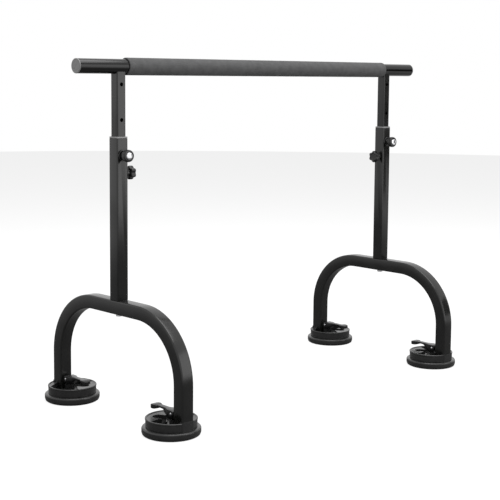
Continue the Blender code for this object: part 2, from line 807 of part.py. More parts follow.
shapes = {"arch": archMesh(), "collar": collarMesh(), "spigot": spigotMesh(), "bolt": boltMesh(),
          "mast": mastMesh(),
          "barrel": pinBarrelMesh(), "pin": pullPinMesh(), "spring": springCurve(), "knob": pullKnobMesh(),
          "knobCap": knobCapMesh(), "boss": clampBossMesh(), "pad": padMesh(), "screw": clampScrewMesh(),
          "star": starKnobMesh(), "cup": cupMesh(), "cover": coverMesh(), "plug": plugMesh(),
          "rod": rodMesh(),
          "lever": leverMesh(), "leverPin": leverPinMesh()}
shapes["spring"].materials.append(steel())
buildBarre()
buildSide("left", -1, shapes)
buildSide("right", 1, shapes)
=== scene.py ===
import math
import bmesh
import bpy
from mathutils import Matrix, Vector


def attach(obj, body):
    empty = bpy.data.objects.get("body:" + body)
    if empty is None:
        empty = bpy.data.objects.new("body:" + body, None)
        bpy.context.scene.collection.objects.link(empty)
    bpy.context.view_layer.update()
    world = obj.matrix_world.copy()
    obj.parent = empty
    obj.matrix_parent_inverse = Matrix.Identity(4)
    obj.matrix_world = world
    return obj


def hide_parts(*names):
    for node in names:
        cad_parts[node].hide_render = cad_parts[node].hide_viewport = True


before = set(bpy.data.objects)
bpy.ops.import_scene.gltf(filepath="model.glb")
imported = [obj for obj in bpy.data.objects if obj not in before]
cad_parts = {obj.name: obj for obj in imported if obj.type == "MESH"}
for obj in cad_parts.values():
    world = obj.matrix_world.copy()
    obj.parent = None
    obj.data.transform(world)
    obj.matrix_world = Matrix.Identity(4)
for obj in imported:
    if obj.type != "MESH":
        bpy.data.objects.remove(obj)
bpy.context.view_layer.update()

stand = {
    "halfSpacing": 0.4575,      # from the middle to each post's axis
    "legY": 0.22365,
    "cupY": 0.18385,
    "legBottom": 0.0228,
    "archTop": 0.2675,
    "bendRadius": 0.1400,
    "tube": 0.0317,
    "tubeWall": 0.0016,
    "tubeCorner": 0.0036,
}
sideSigns = {"left": -1, "right": 1}
endSigns = {"front": -1, "back": 1}
weld = 0.000005      # points nearer than this are one point


# Working helpers

def clearPick():
    if bpy.context.mode != "OBJECT":
        bpy.ops.object.mode_set(mode="OBJECT")
    bpy.ops.object.select_all(action="DESELECT")


def openPiece(piece):
    clearPick()
    piece.select_set(True)
    bpy.context.view_layer.objects.active = piece
    bpy.ops.object.mode_set(mode="EDIT")
    bpy.ops.mesh.select_all(action="DESELECT")


def pick(piece, kind, test):
    bpy.ops.mesh.select_mode(type=kind)
    bpy.ops.mesh.select_all(action="DESELECT")
    mesh = bmesh.from_edit_mesh(piece.data)
    for item in {"FACE": mesh.faces, "EDGE": mesh.edges, "VERT": mesh.verts}[kind]:
        item.select_set(bool(test(item)))
    mesh.select_flush_mode()
    bmesh.update_edit_mesh(piece.data)


def direction(edge):
    return (edge.verts[1].co - edge.verts[0].co).normalized()


def settle(piece, name, angle=32.0):
    # the piece's place goes into its mesh and its curved faces are smoothed
    if bpy.context.mode != "OBJECT":
        bpy.ops.object.mode_set(mode="OBJECT")
    clearPick()
    piece.select_set(True)
    bpy.context.view_layer.objects.active = piece
    bpy.ops.object.transform_apply(location=True, rotation=True, scale=True)
    bpy.ops.object.shade_smooth_by_angle(angle=math.radians(angle))
    piece.name = name
    piece.data.name = name
    return piece


def useModifier(piece, kind, **values):
    clearPick()
    piece.select_set(True)
    bpy.context.view_layer.objects.active = piece
    modifier = piece.modifiers.new(kind.lower(), kind)
    for key, value in values.items():
        setattr(modifier, key, value)
    bpy.ops.object.modifier_apply(modifier=modifier.name)


def carve(piece, cutters, operation="DIFFERENCE"):
    for cutter in cutters:
        useModifier(piece, "BOOLEAN", operation=operation, solver="EXACT", object=cutter)
        bpy.data.objects.remove(cutter, do_unlink=True)
    return piece


def softLine(corners, steps=5):
    # corners are (radius, height, rounding); each rounded corner becomes a small arc
    line = []
    for i, (r, z, rounding) in enumerate(corners):
        here = Vector((r, z))
        if rounding <= 0 or i in (0, len(corners) - 1):
            line.append(here)
            continue
        back = (Vector(corners[i - 1][:2]) - here).normalized()
        on = (Vector(corners[i + 1][:2]) - here).normalized()
        half = back.angle(on) / 2
        if math.cos(half) < 0.02:
            line.append(here)
            continue
        reach = rounding / math.tan(half)
        centre = here + (back + on).normalized() * rounding / math.sin(half)
        first = (here + back * reach - centre).normalized()
        last = (here + on * reach - centre).normalized()
        for k in range(steps + 1):
            line.append(centre + first.slerp(last, k / steps).normalized() * rounding)
    return [(p[0], p[1]) for p in line]


def drawChain(points):
    # a chain of edges in the XZ plane, drawn point by point from a single vertex
    clearPick()
    bpy.ops.mesh.primitive_plane_add(size=0.001, location=(0, 0, 0))
    piece = bpy.context.active_object
    bpy.ops.object.mode_set(mode="EDIT")
    bpy.ops.mesh.select_mode(type="VERT")
    bpy.ops.mesh.select_all(action="SELECT")
    bpy.ops.mesh.merge(type="CENTER")
    bpy.ops.transform.translate(value=(points[0][0], 0, points[0][1]))
    for (x0, z0), (x1, z1) in zip(points, points[1:]):
        bpy.ops.mesh.extrude_vertices_move(TRANSFORM_OT_translate={"value": (x1 - x0, 0, z1 - z0)})
    return piece


def turnPiece(points, sides, closed=False):
    piece = drawChain(points + points[:1] if closed else points)
    bpy.ops.mesh.select_all(action="SELECT")
    bpy.ops.mesh.remove_doubles(threshold=weld)
    bpy.ops.mesh.select_all(action="SELECT")
    bpy.ops.mesh.spin(steps=sides, angle=2 * math.pi, center=(0, 0, 0), axis=(0, 0, 1))
    bpy.ops.mesh.select_all(action="SELECT")
    bpy.ops.mesh.remove_doubles(threshold=weld)
    bpy.ops.mesh.normals_make_consistent(inside=False)
    bpy.ops.object.mode_set(mode="OBJECT")
    return piece


def slabPiece(points, depth):
    # a closed outline in the XZ plane, filled and pushed along Y on both sides of the plane
    piece = drawChain(points + points[:1])
    bpy.ops.mesh.select_all(action="SELECT")
    bpy.ops.mesh.remove_doubles(threshold=weld)
    bpy.ops.mesh.select_all(action="SELECT")
    bpy.ops.mesh.edge_face_add()
    bpy.ops.transform.translate(value=(0, -depth / 2, 0))
    bpy.ops.mesh.extrude_region_move(TRANSFORM_OT_translate={"value": (0, depth, 0)})
    bpy.ops.mesh.select_all(action="SELECT")
    bpy.ops.mesh.normals_make_consistent(inside=False)
    bpy.ops.object.mode_set(mode="OBJECT")
    return piece


def roundBar(radius, low, high, sides=48, place=(0, 0, 0), turn=(0, 0, 0)):
    clearPick()
    bpy.ops.mesh.primitive_cylinder_add(vertices=sides, radius=radius, depth=high - low)
    piece = bpy.context.active_object
    bpy.ops.object.mode_set(mode="EDIT")
    bpy.ops.mesh.select_all(action="SELECT")
    bpy.ops.transform.translate(value=(0, 0, (high + low) / 2))
    bpy.ops.object.mode_set(mode="OBJECT")
    place3d(piece, place, turn)
    return piece


def place3d(piece, place, turn=(0, 0, 0)):
    clearPick()
    piece.select_set(True)
    bpy.context.view_layer.objects.active = piece
    piece.location = place
    piece.rotation_euler = turn
    bpy.ops.object.transform_apply(location=True, rotation=True, scale=True)
    return piece


def copyPiece(piece, name, place=(0, 0, 0), turn=(0, 0, 0)):
    clearPick()
    piece.select_set(True)
    bpy.context.view_layer.objects.active = piece
    bpy.ops.object.duplicate(linked=False)
    copy = bpy.context.active_object
    place3d(copy, place, turn)
    copy.name = name
    copy.data.name = name
    return copy


def hand(piece, body, finish, slotName, *nodes):
    # gives a finished piece its finish, its body and the solids that it stands for
    piece.data.materials.clear()
    piece.data.materials.append(finishes[finish])
    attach(piece, body)
    if nodes:
        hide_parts(*nodes)
    return piece


# Finishes

finishes = {}


def addFinish(name, colour, other, patch, roughness, roughSpread, grain, bump, metal=0.0, specular=0.5,
              coat=0.0, sheen=0.0, cells=False):
    # two tones in soft patches, a roughness that wanders, and a fine grain in the surface
    finish = bpy.data.materials.new(name)
    finish.use_nodes = True
    nodes = finish.node_tree.nodes
    links = finish.node_tree.links
    shader = nodes["Principled BSDF"]
    shader.inputs["Metallic"].default_value = metal
    shader.inputs["Specular IOR Level"].default_value = specular
    shader.inputs["Coat Weight"].default_value = coat
    shader.inputs["Coat Roughness"].default_value = 0.08
    shader.inputs["Sheen Weight"].default_value = sheen
    shader.inputs["Sheen Roughness"].default_value = 0.5
    place = nodes.new("ShaderNodeTexCoord")
    patches = nodes.new("ShaderNodeTexNoise")
    patches.inputs["Scale"].default_value = patch
    patches.inputs["Detail"].default_value = 4.0
    links.new(place.outputs["Object"], patches.inputs["Vector"])
    tones = nodes.new("ShaderNodeValToRGB")
    tones.color_ramp.elements[0].position = 0.35
    tones.color_ramp.elements[0].color = (*colour, 1)
    tones.color_ramp.elements[1].position = 0.68
    tones.color_ramp.elements[1].color = (*other, 1)
    links.new(patches.outputs["Fac"], tones.inputs["Fac"])
    links.new(tones.outputs["Color"], shader.inputs["Base Color"])
    rough = nodes.new("ShaderNodeMapRange")
    rough.inputs["From Min"].default_value = 0.3
    rough.inputs["From Max"].default_value = 0.7
    rough.inputs["To Min"].default_value = roughness - roughSpread
    rough.inputs["To Max"].default_value = roughness + roughSpread
    links.new(patches.outputs["Fac"], rough.inputs["Value"])
    links.new(rough.outputs["Result"], shader.inputs["Roughness"])
    if cells:
        fine = nodes.new("ShaderNodeTexVoronoi")
        fine.inputs["Scale"].default_value = grain
        height = fine.outputs["Distance"]
    else:
        fine = nodes.new("ShaderNodeTexNoise")
        fine.inputs["Scale"].default_value = grain
        fine.inputs["Detail"].default_value = 3.0
        height = fine.outputs["Fac"]
    links.new(place.outputs["Object"], fine.inputs["Vector"])
    relief = nodes.new("ShaderNodeBump")
    relief.inputs["Strength"].default_value = bump
    relief.inputs["Distance"].default_value = 0.0002
    links.new(height, relief.inputs["Height"])
    links.new(relief.outputs["Normal"], shader.inputs["Normal"])
    finishes[name] = finish
    return finish


addFinish("charcoalCoat", (0.0080, 0.0080, 0.0075), (0.0110, 0.0110, 0.0105), 28, 0.19, 0.03, 1500, 0.08)
addFinish("glossBlackCoat", (0.0022, 0.0022, 0.0022), (0.0034, 0.0034, 0.0034), 18, 0.11, 0.02, 700, 0.03,
          specular=0.38)
addFinish("satinBlackMoulding", (0.0055, 0.0055, 0.0057), (0.0080, 0.0080, 0.0082), 60, 0.22, 0.04, 2200, 0.06)
addFinish("greyMoulding", (0.24, 0.24, 0.24), (0.30, 0.30, 0.30), 80, 0.45, 0.05, 2000, 0.15)
addFinish("capMoulding", (0.17, 0.17, 0.17), (0.21, 0.21, 0.21), 150, 0.42, 0.05, 2000, 0.20)
addFinish("footMoulding", (0.0190, 0.0190, 0.0190), (0.0240, 0.0240, 0.0240), 60, 0.24, 0.04, 2200, 0.06)
addFinish("softRubber", (0.0170, 0.0170, 0.0170), (0.0220, 0.0220, 0.0218), 45, 0.22, 0.04, 1800, 0.08)
addFinish("closedFoam", (0.085, 0.085, 0.086), (0.110, 0.110, 0.111), 60, 0.90, 0.05, 950, 0.45, cells=True,
          specular=0.25)
addFinish("zincSteel", (0.52, 0.52, 0.53), (0.62, 0.62, 0.63), 90, 0.30, 0.06, 1600, 0.10, metal=1.0)
addFinish("polishedChrome", (0.80, 0.80, 0.82), (0.88, 0.88, 0.90), 40, 0.08, 0.02, 900, 0.02, metal=1.0)
print("finishes:", len(finishes))


# Square tubes

def squareTube(size, wall, corner, low, high, place=(0, 0), rim=0.0003):
    clearPick()
    bpy.ops.mesh.primitive_cube_add(size=1, location=(place[0], place[1], (low + high) / 2),
                                    scale=(size, size, high - low))
    piece = bpy.context.active_object
    bpy.ops.object.transform_apply(location=True, rotation=True, scale=True)
    openPiece(piece)
    pick(piece, "EDGE", lambda e: abs(direction(e).z) > 0.9)
    bpy.ops.mesh.bevel(offset=corner, segments=6, affect="EDGES")
    pick(piece, "FACE", lambda f: abs(f.normal.z) > 0.9)
    bpy.ops.mesh.delete(type="FACE")
    bpy.ops.object.mode_set(mode="OBJECT")
    useModifier(piece, "SOLIDIFY", thickness=wall, offset=-1, use_even_offset=True)
    if rim:
        openPiece(piece)
        pick(piece, "EDGE", lambda e: len(e.link_faces) == 2 and e.calc_face_angle() > 1.2)
        bpy.ops.mesh.bevel(offset=rim, segments=2, affect="EDGES")
        bpy.ops.object.mode_set(mode="OBJECT")
    return piece


arch = {"bendSteps": 28, "cornerSteps": 6, "rim": 0.0004}


def makeArch():
    clearPick()
    bpy.ops.mesh.primitive_plane_add(size=stand["tube"], location=(0, -stand["legY"], stand["legBottom"]))
    piece = bpy.context.active_object
    bpy.ops.object.transform_apply(location=True, rotation=True, scale=True)
    openPiece(piece)
    bpy.ops.mesh.select_all(action="SELECT")
    bpy.ops.mesh.bevel(offset=stand["tubeCorner"], segments=arch["cornerSteps"], affect="VERTICES")
    bpy.ops.mesh.select_all(action="SELECT")
    bpy.ops.mesh.delete(type="ONLY_FACE")
    bpy.ops.mesh.select_mode(type="EDGE")
    bpy.ops.mesh.select_all(action="SELECT")
    bendZ = stand["archTop"] - stand["tube"] / 2 - stand["bendRadius"]
    bendY = stand["legY"] - stand["bendRadius"]
    lift = bendZ - stand["legBottom"]
    quarter = math.radians(90)
    bpy.ops.mesh.extrude_region_move(TRANSFORM_OT_translate={"value": (0, 0, lift)})
    bpy.ops.mesh.spin(steps=arch["bendSteps"], angle=quarter, center=(0, -bendY, bendZ), axis=(1, 0, 0))
    bpy.ops.mesh.extrude_region_move(TRANSFORM_OT_translate={"value": (0, 2 * bendY, 0)})
    bpy.ops.mesh.spin(steps=arch["bendSteps"], angle=quarter, center=(0, bendY, bendZ), axis=(1, 0, 0))
    bpy.ops.mesh.extrude_region_move(TRANSFORM_OT_translate={"value": (0, 0, -lift)})
    bpy.ops.mesh.select_all(action="SELECT")
    bpy.ops.mesh.remove_doubles(threshold=weld)
    bpy.ops.mesh.normals_make_consistent(inside=False)
    bpy.ops.object.mode_set(mode="OBJECT")
    useModifier(piece, "SOLIDIFY", thickness=stand["tubeWall"], offset=-1, use_even_offset=True)
    return piece


archPiece = makeArch()
print("arch:", [round(v, 4) for v in archPiece.dimensions])
for side, sign in sideSigns.items():
    piece = copyPiece(archPiece, "archTube_" + side, (sign * stand["halfSpacing"], 0, 0))
    settle(piece, "archTube_" + side)
    hand(piece, "base", "charcoalCoat", "charcoal_coat", "base_arch_" + side)
bpy.data.objects.remove(archPiece, do_unlink=True)

post = {"size": 0.0304, "wall": 0.0015, "corner": 0.0034, "low": 0.2678, "high": 0.6322, "pinHeight": 0.5945,
        "clampHeight": 0.5540, "pinHole": 0.0043, "padHole": 0.0056}
mast = {"size": 0.0238, "wall": 0.0015, "corner": 0.0027, "low": 0.3660, "holeRadius": 0.0045, "pitch": 0.0785,
        "holes": 5, "below": 2}
barre = {"height": 0.7911, "radius": 0.0164, "wall": 0.0016, "left": -0.5688, "right": 0.5630, "sides": 96}

for side, sign in sideSigns.items():
    x = sign * stand["halfSpacing"]
    piece = squareTube(post["size"], post["wall"], post["corner"], post["low"], post["high"], (x, 0))
    pinHole = roundBar(post["pinHole"], -0.03, 0.0, 32, (x, 0, post["pinHeight"]), (math.radians(-90), 0, 0))
    padHole = roundBar(post["padHole"], 0.0, 0.03, 32, (x, 0, post["clampHeight"]),
                       (0, math.radians(-90 * sign), 0))
    carve(piece, [pinHole, padHole])
    settle(piece, "outerPost_" + side)
    hand(piece, "base", "charcoalCoat", "charcoal_coat", "outer_post_" + side)
    piece = squareTube(mast["size"], mast["wall"], mast["corner"], mast["low"], barre["height"] - 0.004, (x, 0))
    cutters = [roundBar(barre["radius"] + 0.0003, -0.03, 0.03, 96, (x, 0, barre["height"]),
                        (0, math.radians(90), 0))]
    for i in range(mast["holes"]):
        z = post["pinHeight"] + (i - mast["below"]) * mast["pitch"]
        cutters.append(roundBar(mast["holeRadius"], -0.03, 0.0, 32, (x, 0, z), (math.radians(-90), 0, 0)))
    carve(piece, cutters)
    settle(piece, "slidingMast_" + side)
    hand(piece, "upper_frame", "charcoalCoat", "charcoal_coat", "mast_" + side)
print("posts and masts done")

collar = {"bore": 0.0246, "sleeve": 0.0268, "low": 0.6022, "lipLow": 0.6325, "lipHigh": 0.6361, "chamfer": 0.0008}
for side, sign in sideSigns.items():
    x = sign * stand["halfSpacing"]
    lip = squareTube(post["size"], (post["size"] - collar["bore"]) / 2, post["corner"], collar["lipLow"],
                     collar["lipHigh"], (x, 0), collar["chamfer"])
    sleeve = squareTube(collar["sleeve"], (collar["sleeve"] - collar["bore"]) / 2, 0.0019, collar["low"],
                        collar["lipLow"] + 0.0010, (x, 0), 0)
    clearPick()
    lip.select_set(True)
    sleeve.select_set(True)
    bpy.context.view_layer.objects.active = lip
    bpy.ops.object.join()
    settle(lip, "guideCollar_" + side)
    hand(lip, "base", "greyMoulding", "grey_plastic", "guide_collar_" + side)
print("collars done")


# The barre with its foam

def alongBarre(points, sides, closed=False):
    piece = turnPiece(points, sides, closed)
    return place3d(piece, (0, 0, barre["height"]), (0, math.radians(90), 0))


inner = barre["radius"] - barre["wall"]
piece = alongBarre([(barre["radius"], barre["left"]), (barre["radius"], barre["right"]), (inner, barre["right"]),
                    (inner, barre["left"])], barre["sides"], closed=True)
settle(piece, "barreTube")
hand(piece, "upper_frame", "glossBlackCoat", "gloss_black", "barre_tube")

foam = {"bore": 0.0167, "radius": 0.0196, "left": -0.4379, "right": 0.4450, "rounding": 0.0013, "rings": 90,
        "unevenness": 0.00008}
step = (foam["right"] - foam["left"] - 0.010) / foam["rings"]
line = [(foam["bore"], foam["left"], 0), (foam["radius"], foam["left"], foam["rounding"])]
line += [(foam["radius"], foam["left"] + 0.005 + step * i, 0) for i in range(foam["rings"] + 1)]
line += [(foam["radius"], foam["right"], foam["rounding"]), (foam["bore"], foam["right"], 0)]
piece = alongBarre(softLine(line), 96, closed=True)
openPiece(piece)
pick(piece, "VERT", lambda v: (v.co.y ** 2 + (v.co.z - barre["height"]) ** 2) ** 0.5 > foam["radius"] - 0.0002)
bpy.ops.transform.vertex_random(offset=foam["unevenness"], uniform=0.0, normal=1.0, seed=7)
bpy.ops.object.mode_set(mode="OBJECT")
settle(piece, "foamSleeve", 60)
hand(piece, "upper_frame", "closedFoam", "foam_grey", "foam_sleeve")

cap = {"radius": 0.0164, "head": 0.0030, "rounding": 0.0011, "plug": 0.0145, "depth": 0.0160, "dish": 0.0003}
line = softLine([(0, cap["head"] - cap["dish"], 0), (cap["radius"] - 0.0035, cap["head"] - cap["dish"], 0.002),
                 (cap["radius"] - 0.0025, cap["head"], 0.0006), (cap["radius"], cap["head"], cap["rounding"]),
                 (cap["radius"], 0.0003, 0.0002), (cap["plug"], 0.0003, 0), (cap["plug"], -cap["depth"], 0.0008),
                 (cap["plug"] - 0.0025, -cap["depth"], 0), (cap["plug"] - 0.0025, -0.001, 0), (0, -0.001, 0)])
capPiece = turnPiece(line, 96)
for side, x, turn in (("left", barre["left"], -90), ("right", barre["right"], 90)):
    piece = copyPiece(capPiece, "endCap_" + side, (x, 0, barre["height"]), (0, math.radians(turn), 0))
    settle(piece, "endCap_" + side)
    hand(piece, "upper_frame", "capMoulding", "grey_plastic", "end_cap_" + side)
bpy.data.objects.remove(capPiece, do_unlink=True)
print("barre done")


# Spring pins

pin = {"flangeRadius": 0.0128, "flange": 0.0035, "barrelRadius": 0.0070, "length": 0.0160, "bore": 0.0057,
       "floor": 0.0026, "front": 0.0044, "rear": 0.0029}
knob = {"radius": 0.0138, "start": 0.0140, "length": 0.0108, "flutes": 24, "fluteDepth": 0.965, "sides": 144,
        "skirt": 0.0074, "floor": 0.0198, "stem": 0.0028, "seat": 0.0083}
disc = {"radius": 0.0080, "base": 0.0236, "edge": 0.0248, "dome": 0.0018}

line = softLine([(pin["front"], 0.0003, 0), (pin["flangeRadius"], 0.0003, 0.0003),
                 (pin["flangeRadius"], pin["flange"], 0.0010), (pin["barrelRadius"], pin["flange"], 0.0012),
                 (pin["barrelRadius"], pin["length"], 0.0006), (pin["rear"], pin["length"], 0),
                 (pin["rear"], pin["length"] - 0.0023, 0), (pin["bore"], pin["length"] - 0.0023, 0),
                 (pin["bore"], pin["floor"], 0), (pin["front"], pin["floor"], 0)])
barrelPiece = turnPiece(line, 64, closed=True)
front = knob["start"] + knob["length"]
line = softLine([(0, knob["floor"] + 0.0025, 0), (knob["stem"], knob["floor"] + 0.0025, 0),
                 (knob["stem"], knob["floor"], 0), (knob["skirt"], knob["floor"], 0),
                 (knob["skirt"], knob["start"], 0),
                 (knob["radius"] - 0.0004, knob["start"], 0.0010), (knob["radius"], knob["start"] + 0.0022, 0.0008),
                 (knob["radius"], front - 0.0035, 0.0008), (knob["radius"] - 0.0010, front - 0.0006, 0.0010),
                 (knob["seat"] + 0.0008, front, 0.0004), (knob["seat"], front - 0.0004, 0.0002),
                 (knob["seat"], front - 0.0015, 0), (0, front - 0.0015, 0)])
knobPiece = turnPiece(line, knob["sides"])
openPiece(knobPiece)
slots = knob["sides"] // knob["flutes"]
pick(knobPiece, "VERT", lambda v: Vector((v.co.x, v.co.y)).length > knob["radius"] - 0.00025
     and knob["start"] + 0.001 < v.co.z < front - 0.002
     and round(math.atan2(v.co.y, v.co.x) / (2 * math.pi) * knob["sides"]) % slots in (0, 1))
bpy.ops.transform.resize(value=(knob["fluteDepth"], knob["fluteDepth"], 1), center_override=(0, 0, 0))
bpy.ops.object.mode_set(mode="OBJECT")
line = [(0, disc["base"]), (disc["radius"] - 0.0003, disc["base"]), (disc["radius"], disc["base"] + 0.0003),
        (disc["radius"], disc["edge"])]
for i in range(1, 13):
    t = i / 13 * math.pi / 2
    line.append((disc["radius"] * math.cos(t), disc["edge"] + disc["dome"] * math.sin(t)))
line.append((0, disc["edge"] + disc["dome"]))
discPiece = turnPiece(line, 96)

# Clamp screws

boss = {"radius": 0.0095, "length": 0.0082, "seat": 0.0056, "bore": 0.0044, "counter": 0.0031}
star = {"start": 0.0116, "length": 0.0130, "mean": 0.0142, "swell": 0.0015, "lobes": 6, "sides": 144,
        "hub": 0.0080, "hubStart": 0.0086, "bore": 0.0043, "boreEnd": 0.0203}
line = softLine([(boss["seat"], 0.0003, 0), (boss["radius"], 0.0003, 0.0003),
                 (boss["radius"], boss["length"], 0.0008), (boss["bore"], boss["length"], 0),
                 (boss["bore"], boss["counter"], 0), (boss["seat"], boss["counter"], 0)])
bossPiece = turnPiece(line, 64, closed=True)
top = star["start"] + star["length"]
line = softLine([(0, star["boreEnd"], 0), (star["bore"], star["boreEnd"], 0), (star["bore"], star["hubStart"], 0),
                 (star["hub"], star["hubStart"], 0.0005), (star["hub"], star["start"], 0.0005),
                 (star["mean"], star["start"], 0.0022), (star["mean"], top, 0.0028),
                 (star["mean"] - 0.0048, top, 0.0008), (star["mean"] - 0.0058, top - 0.0010, 0.0008),
                 (0, top - 0.0010, 0)])
starPiece = turnPiece(line, star["sides"])
openPiece(starPiece)
perLobe = star["sides"] // star["lobes"]
for k in range(perLobe // 2 + 1):
    factor = 1 + star["swell"] / star["mean"] * math.cos(2 * math.pi * k / perLobe)
    pick(starPiece, "VERT", lambda v: Vector((v.co.x, v.co.y)).length > star["hub"] + 0.0006
         and v.co.z > star["start"] - 0.0001
         and round(math.atan2(v.co.y, v.co.x) / (2 * math.pi) * star["sides"]) % perLobe in (k, perLobe - k))
    bpy.ops.transform.resize(value=(factor, factor, 1), center_override=(0, 0, 0))
bpy.ops.object.mode_set(mode="OBJECT")

for side, sign in sideSigns.items():
    x = sign * stand["halfSpacing"]
    seat = (x, -post["size"] / 2, post["pinHeight"])
    turn = (math.radians(90), 0, 0)
    for master, label, body, finish, slotName, node in (
            (barrelPiece, "pinBarrel_", "base", "satinBlackMoulding", "black_plastic", "pin_barrel_"),
            (knobPiece, "pullKnob_", "pull_pin_" + side, "satinBlackMoulding", "black_plastic", "pull_knob_"),
            (discPiece, "knobDisc_", "pull_pin_" + side, "polishedChrome", "chrome", "knob_cap_")):
        piece = copyPiece(master, label + side, seat, turn)
        settle(piece, label + side)
        hand(piece, body, finish, slotName, node + side)
    seat = (x - sign * post["size"] / 2, 0, post["clampHeight"])
    turn = (0, math.radians(-90 * sign), 0)
    for master, label, body, finish, slotName, node in (
            (bossPiece, "clampBoss_", "base", "charcoalCoat", "charcoal_coat", "clamp_boss_"),
            (starPiece, "starKnob_", "clamp_knob_" + side, "satinBlackMoulding", "black_plastic", "star_knob_")):
        piece = copyPiece(master, label + side, seat, turn)
        settle(piece, label + side)
        hand(piece, body, finish, slotName, node + side)
for master in (barrelPiece, knobPiece, discPiece, bossPiece, starPiece):
    bpy.data.objects.remove(master, do_unlink=True)
print("knobs done")


# Suction feet, modelled once about the cup's own axis with the barre's middle toward +Y

foot = {"cupRadius": 0.0650, "cupHeight": 0.0175, "dome": 0.0070, "hole": 0.0049, "seal": 0.0460,
        "coverRadius": 0.0568, "coverLow": 0.0178, "coverTop": 0.0370, "ledge": 0.0356, "rim": 0.0030,
        "floor": 0.0225, "wall": 0.0048, "turn": 30.0, "ledgeStart": 0.0090, "slant": 0.60, "outerLedge": 0.0405,
        "scoopRadius": 0.0130, "scoopReach": 0.0300, "scoopFloor": 0.0262, "pedestal": 0.0120, "rodOffset": 0.0110,
        "legOffset": 0.0398, "socket": 0.0323, "bulge": 0.0353, "bulgeTop": 0.0388, "pinHeight": 0.0480}

line = softLine([(0, foot["dome"], 0), (0, foot["cupHeight"], 0), (0.0590, foot["cupHeight"], 0.0010),
                 (foot["cupRadius"], 0.0166, 0.0038),
                 (foot["cupRadius"], 0.0062, 0.0030), (0.0632, 0.0014, 0.0012), (0.0610, 0.0, 0.0008),
                 (foot["seal"] + 0.0080, 0.0, 0), (foot["seal"], 0.0, 0.0030), (0.0400, 0.0024, 0.0040),
                 (0.0340, 0.0050, 0.0080), (0.0280, 0.0062, 0.0060), (0.0250, foot["dome"], 0.0020),
                 (0, foot["dome"], 0)])
cupPiece = turnPiece(line, 144)
carve(cupPiece, [roundBar(foot["hole"], 0.004, 0.020, 48, (0, -foot["rodOffset"], 0))])


def coverPoint(along, across):
    c = math.cos(math.radians(foot["turn"]))
    s = math.sin(math.radians(foot["turn"]))
    return (across * c - along * s, across * s + along * c)


def standUp(points, low, high):
    # an outline seen from above becomes a solid between two heights
    piece = slabPiece(points, high - low)
    return place3d(piece, (0, 0, (low + high) / 2), (math.radians(-90), 0, 0))


def arcPoints(cx, cy, radius, start, end, count):
    return [(cx + radius * math.cos(math.radians(start + (end - start) * i / count)),
             cy + radius * math.sin(math.radians(start + (end - start) * i / count))) for i in range(count + 1)]


def squareBlock(size, corner, low, high):
    # a block with rounded uprights on the leg's axis
    clearPick()
    bpy.ops.mesh.primitive_cube_add(size=1, location=(0, -foot["legOffset"], (low + high) / 2),
                                    scale=(size, size, high - low))
    piece = bpy.context.active_object
    bpy.ops.object.transform_apply(location=True, rotation=True, scale=True)
    openPiece(piece)
    pick(piece, "EDGE", lambda e: abs(direction(e).z) > 0.9)
    bpy.ops.mesh.bevel(offset=corner, segments=6, affect="EDGES")
    bpy.ops.object.mode_set(mode="OBJECT")
    return piece


def makeCover():
    r = foot["coverRadius"]
    line = softLine([(0, foot["coverLow"], 0), (r - 0.0004, foot["coverLow"], 0.0003), (r, 0.0330, 0.0008),
                     (r + 0.0007, 0.0340, 0.0004), (r + 0.0007, 0.0360, 0.0006),
                     (r - 0.0004, foot["coverTop"], 0.0006), (r - foot["rim"], foot["coverTop"], 0.0006),
                     (r - foot["rim"] - 0.0007, foot["ledge"], 0.0004), (0, foot["ledge"], 0)])
    body = turnPiece(line, 144)
    bulge = squareBlock(foot["bulge"], stand["tubeCorner"] + 0.0018, foot["coverLow"], foot["bulgeTop"])
    carve(body, [bulge], "UNION")
    inside = r - foot["wall"]
    k = 1 + foot["slant"] ** 2
    across = (-foot["ledgeStart"] * foot["slant"] + math.sqrt(
        (foot["ledgeStart"] * foot["slant"]) ** 2 + k * (inside ** 2 - foot["ledgeStart"] ** 2))) / k
    along = foot["ledgeStart"] + foot["slant"] * across
    first = math.degrees(math.atan2(across, along))
    last = math.degrees(math.acos(-foot["outerLedge"] / inside))
    right = arcPoints(0, 0, inside, first, last, 24)
    outline = right + [(a, -b) for a, b in reversed(right)] + [(foot["ledgeStart"], 0.0)]
    recess = standUp([coverPoint(a, b) for a, b in outline], foot["floor"], 0.045)
    pedestal = roundBar(foot["pedestal"], foot["floor"] - 0.004, 0.050, 64, (0, -foot["rodOffset"], 0))
    carve(recess, [pedestal])
    line = arcPoints(foot["scoopReach"], 0.0, foot["scoopRadius"], 90, -90, 20)
    line += [(foot["ledgeStart"] - 0.001, -foot["scoopRadius"]), (foot["ledgeStart"] - 0.001, foot["scoopRadius"])]
    scoop = standUp([coverPoint(a, b) for a, b in line], foot["scoopFloor"], 0.045)
    socket = squareBlock(foot["socket"], stand["tubeCorner"], foot["floor"], 0.045)
    bore = roundBar(foot["hole"], 0.010, 0.050, 48, (0, -foot["rodOffset"], 0))
    stud = roundBar(0.0033, 0.0192, 0.030, 32, (0, -foot["legOffset"], 0))
    carve(body, [recess, scoop, socket, bore, stud])
    useModifier(body, "BEVEL", width=0.0004, segments=2, limit_method="ANGLE", angle_limit=math.radians(45))
    return body


coverPiece = makeCover()
print("cover:", len(coverPiece.data.vertices))

lever = {"cheekInner": 0.0044, "cheekOuter": 0.0118, "armTop": 0.0075, "armThickness": 0.0044, "armWidth": 0.0125,
         "hubFront": 0.0095, "armStart": 0.0240, "paddleStart": 0.0515, "paddleEnd": 0.0735, "paddleMiddle": 0.0033,
         "droop": 0.0012, "lift": 80.0, "drop": 0.0040, "pinRadius": 0.0028, "eyeRoom": 0.0055, "shankRoom": 0.0049}


